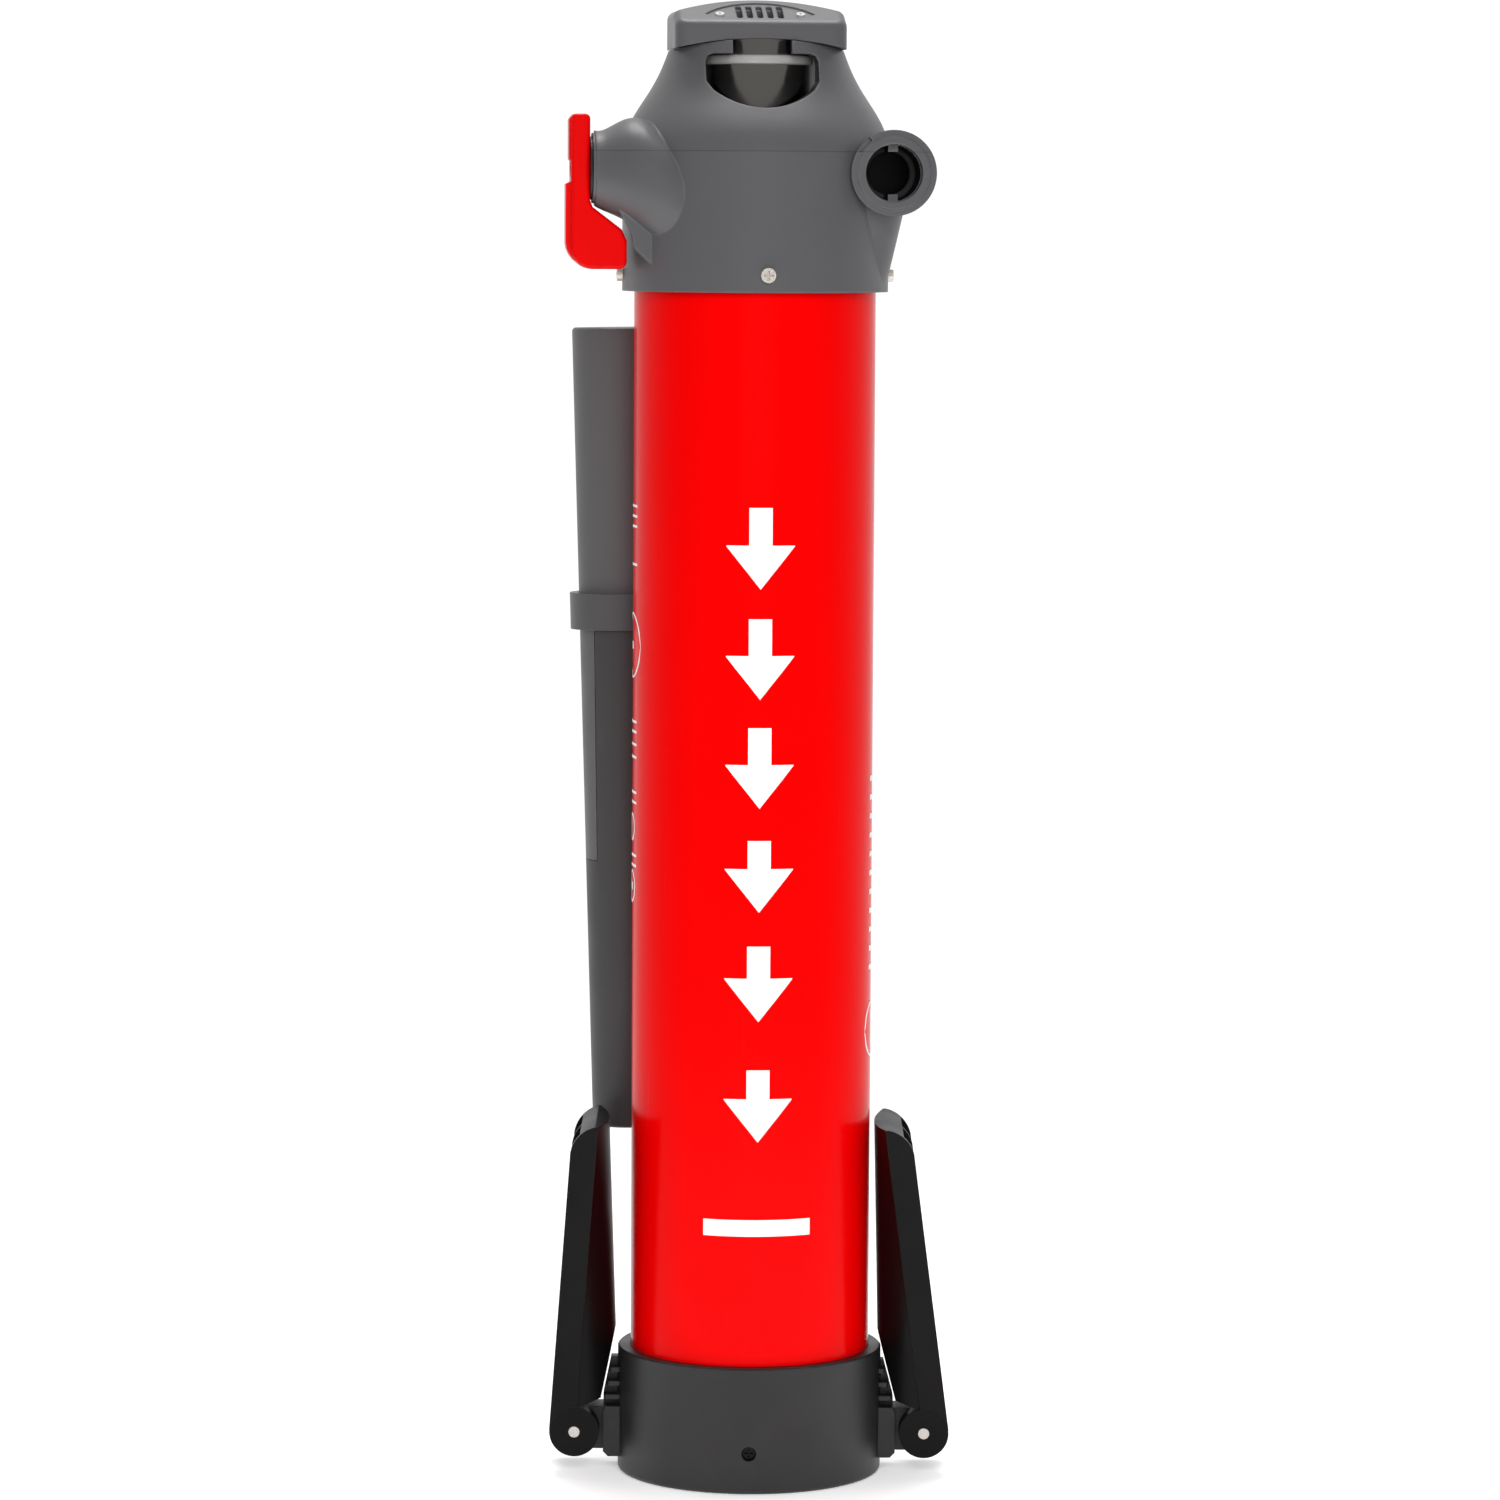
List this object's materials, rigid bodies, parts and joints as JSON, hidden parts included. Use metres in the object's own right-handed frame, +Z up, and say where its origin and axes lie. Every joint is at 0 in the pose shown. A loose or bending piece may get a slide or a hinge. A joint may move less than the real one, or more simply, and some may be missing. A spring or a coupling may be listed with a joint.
{
  "type": "hand air pump",
  "caption": "Stand-up dual-chamber hand pump for inflatables: cylinder, sliding shaft and hub, mode lever, bayonet hose port, fold-up feet, stowed handle.",
  "frame": {"origin": "centre of the base cap's flat underside", "axes": "+Z up along the cylinder, -Y towards the front, where the hose port opens, +X to the right"},
  "size_m": [0.1589, 0.1233, 0.5826],
  "materials": {
    "red_paint": "gloss",
    "red_plastic": "gloss",
    "grey_plastic": "satin",
    "dark_plastic": "satin",
    "black_plastic": "satin",
    "handle_plastic": "satin",
    "polished_metal": "polished",
    "stainless": "satin",
    "aluminium": "satin",
    "inner_plastic": "satin",
    "rubber": "matte"
  },
  "bodies": {
    "pump_body": {"main_tube": "red_paint", "base_cap": "dark_plastic", "base_gasket": "rubber", "base_screws": "stainless", "inner_rod": "aluminium", "inner_piston": "inner_plastic", "inner_piston_ring": "rubber", "shaft_guide": "inner_plastic", "shaft_wiper": "rubber", "valve_plate": "inner_plastic", "outlet_flap": "rubber", "head_casing": "grey_plastic", "head_screws": "stainless", "port_seal": "rubber", "handle_clip": "dark_plastic", "clip_rivets": "stainless"},
    "plunger": {"main_piston": "inner_plastic", "piston_seal": "rubber", "rod_seal": "rubber", "piston_flap": "rubber", "shaft_tube": "polished_metal", "shaft_plug": "aluminium", "plug_seal": "rubber", "stop_collar": "polished_metal", "hub": "grey_plastic", "vent_grille": "grey_plastic", "vent_screws": "stainless"},
    "lever": {"mode_lever": "red_plastic", "selector_spindle": "dark_plastic", "spindle_seals": "rubber", "lever_screw": "stainless"},
    "foot_left": {"left_foot": "black_plastic", "left_foot_pin": "stainless", "left_foot_clip": "stainless"},
    "foot_right": {"right_foot": "black_plastic", "right_foot_pin": "stainless", "right_foot_clip": "stainless"},
    "handle_lower": {"lower_grip": "handle_plastic"},
    "handle_upper": {"upper_grip": "handle_plastic"}
  },
  "joints": [
    {"name": "plunger_slide", "type": "slide", "parent": "pump_body", "child": "plunger", "axis": [0, 0, 1], "range_m": [0, 0.38]},
    {"name": "lever_turn", "type": "hinge", "parent": "pump_body", "child": "lever", "pos_m": [-0.06358, -0.02621, 0.5168], "axis": [-0.9954, -0.0958, 0], "range_deg": [0, 90]},
    {"name": "left_foot_fold", "type": "hinge", "parent": "pump_body", "child": "foot_left", "pos_m": [-0.0695, 0, 0.0169], "axis": [0, -1, 0], "range_deg": [0, 97.4]},
    {"name": "right_foot_fold", "type": "hinge", "parent": "pump_body", "child": "foot_right", "pos_m": [0.0695, 0, 0.0169], "axis": [0, 1, 0], "range_deg": [0, 100.6]},
    {"name": "handle_lift", "type": "slide", "parent": "pump_body", "child": "handle_lower", "axis": [-0.0154, 0.0139, 0.9998], "range_m": [0, 0.22]},
    {"name": "handle_part", "type": "slide", "parent": "handle_lower", "child": "handle_upper", "axis": [-0.0154, 0.0139, 0.9998], "range_m": [0, 0.1]}
  ]
}
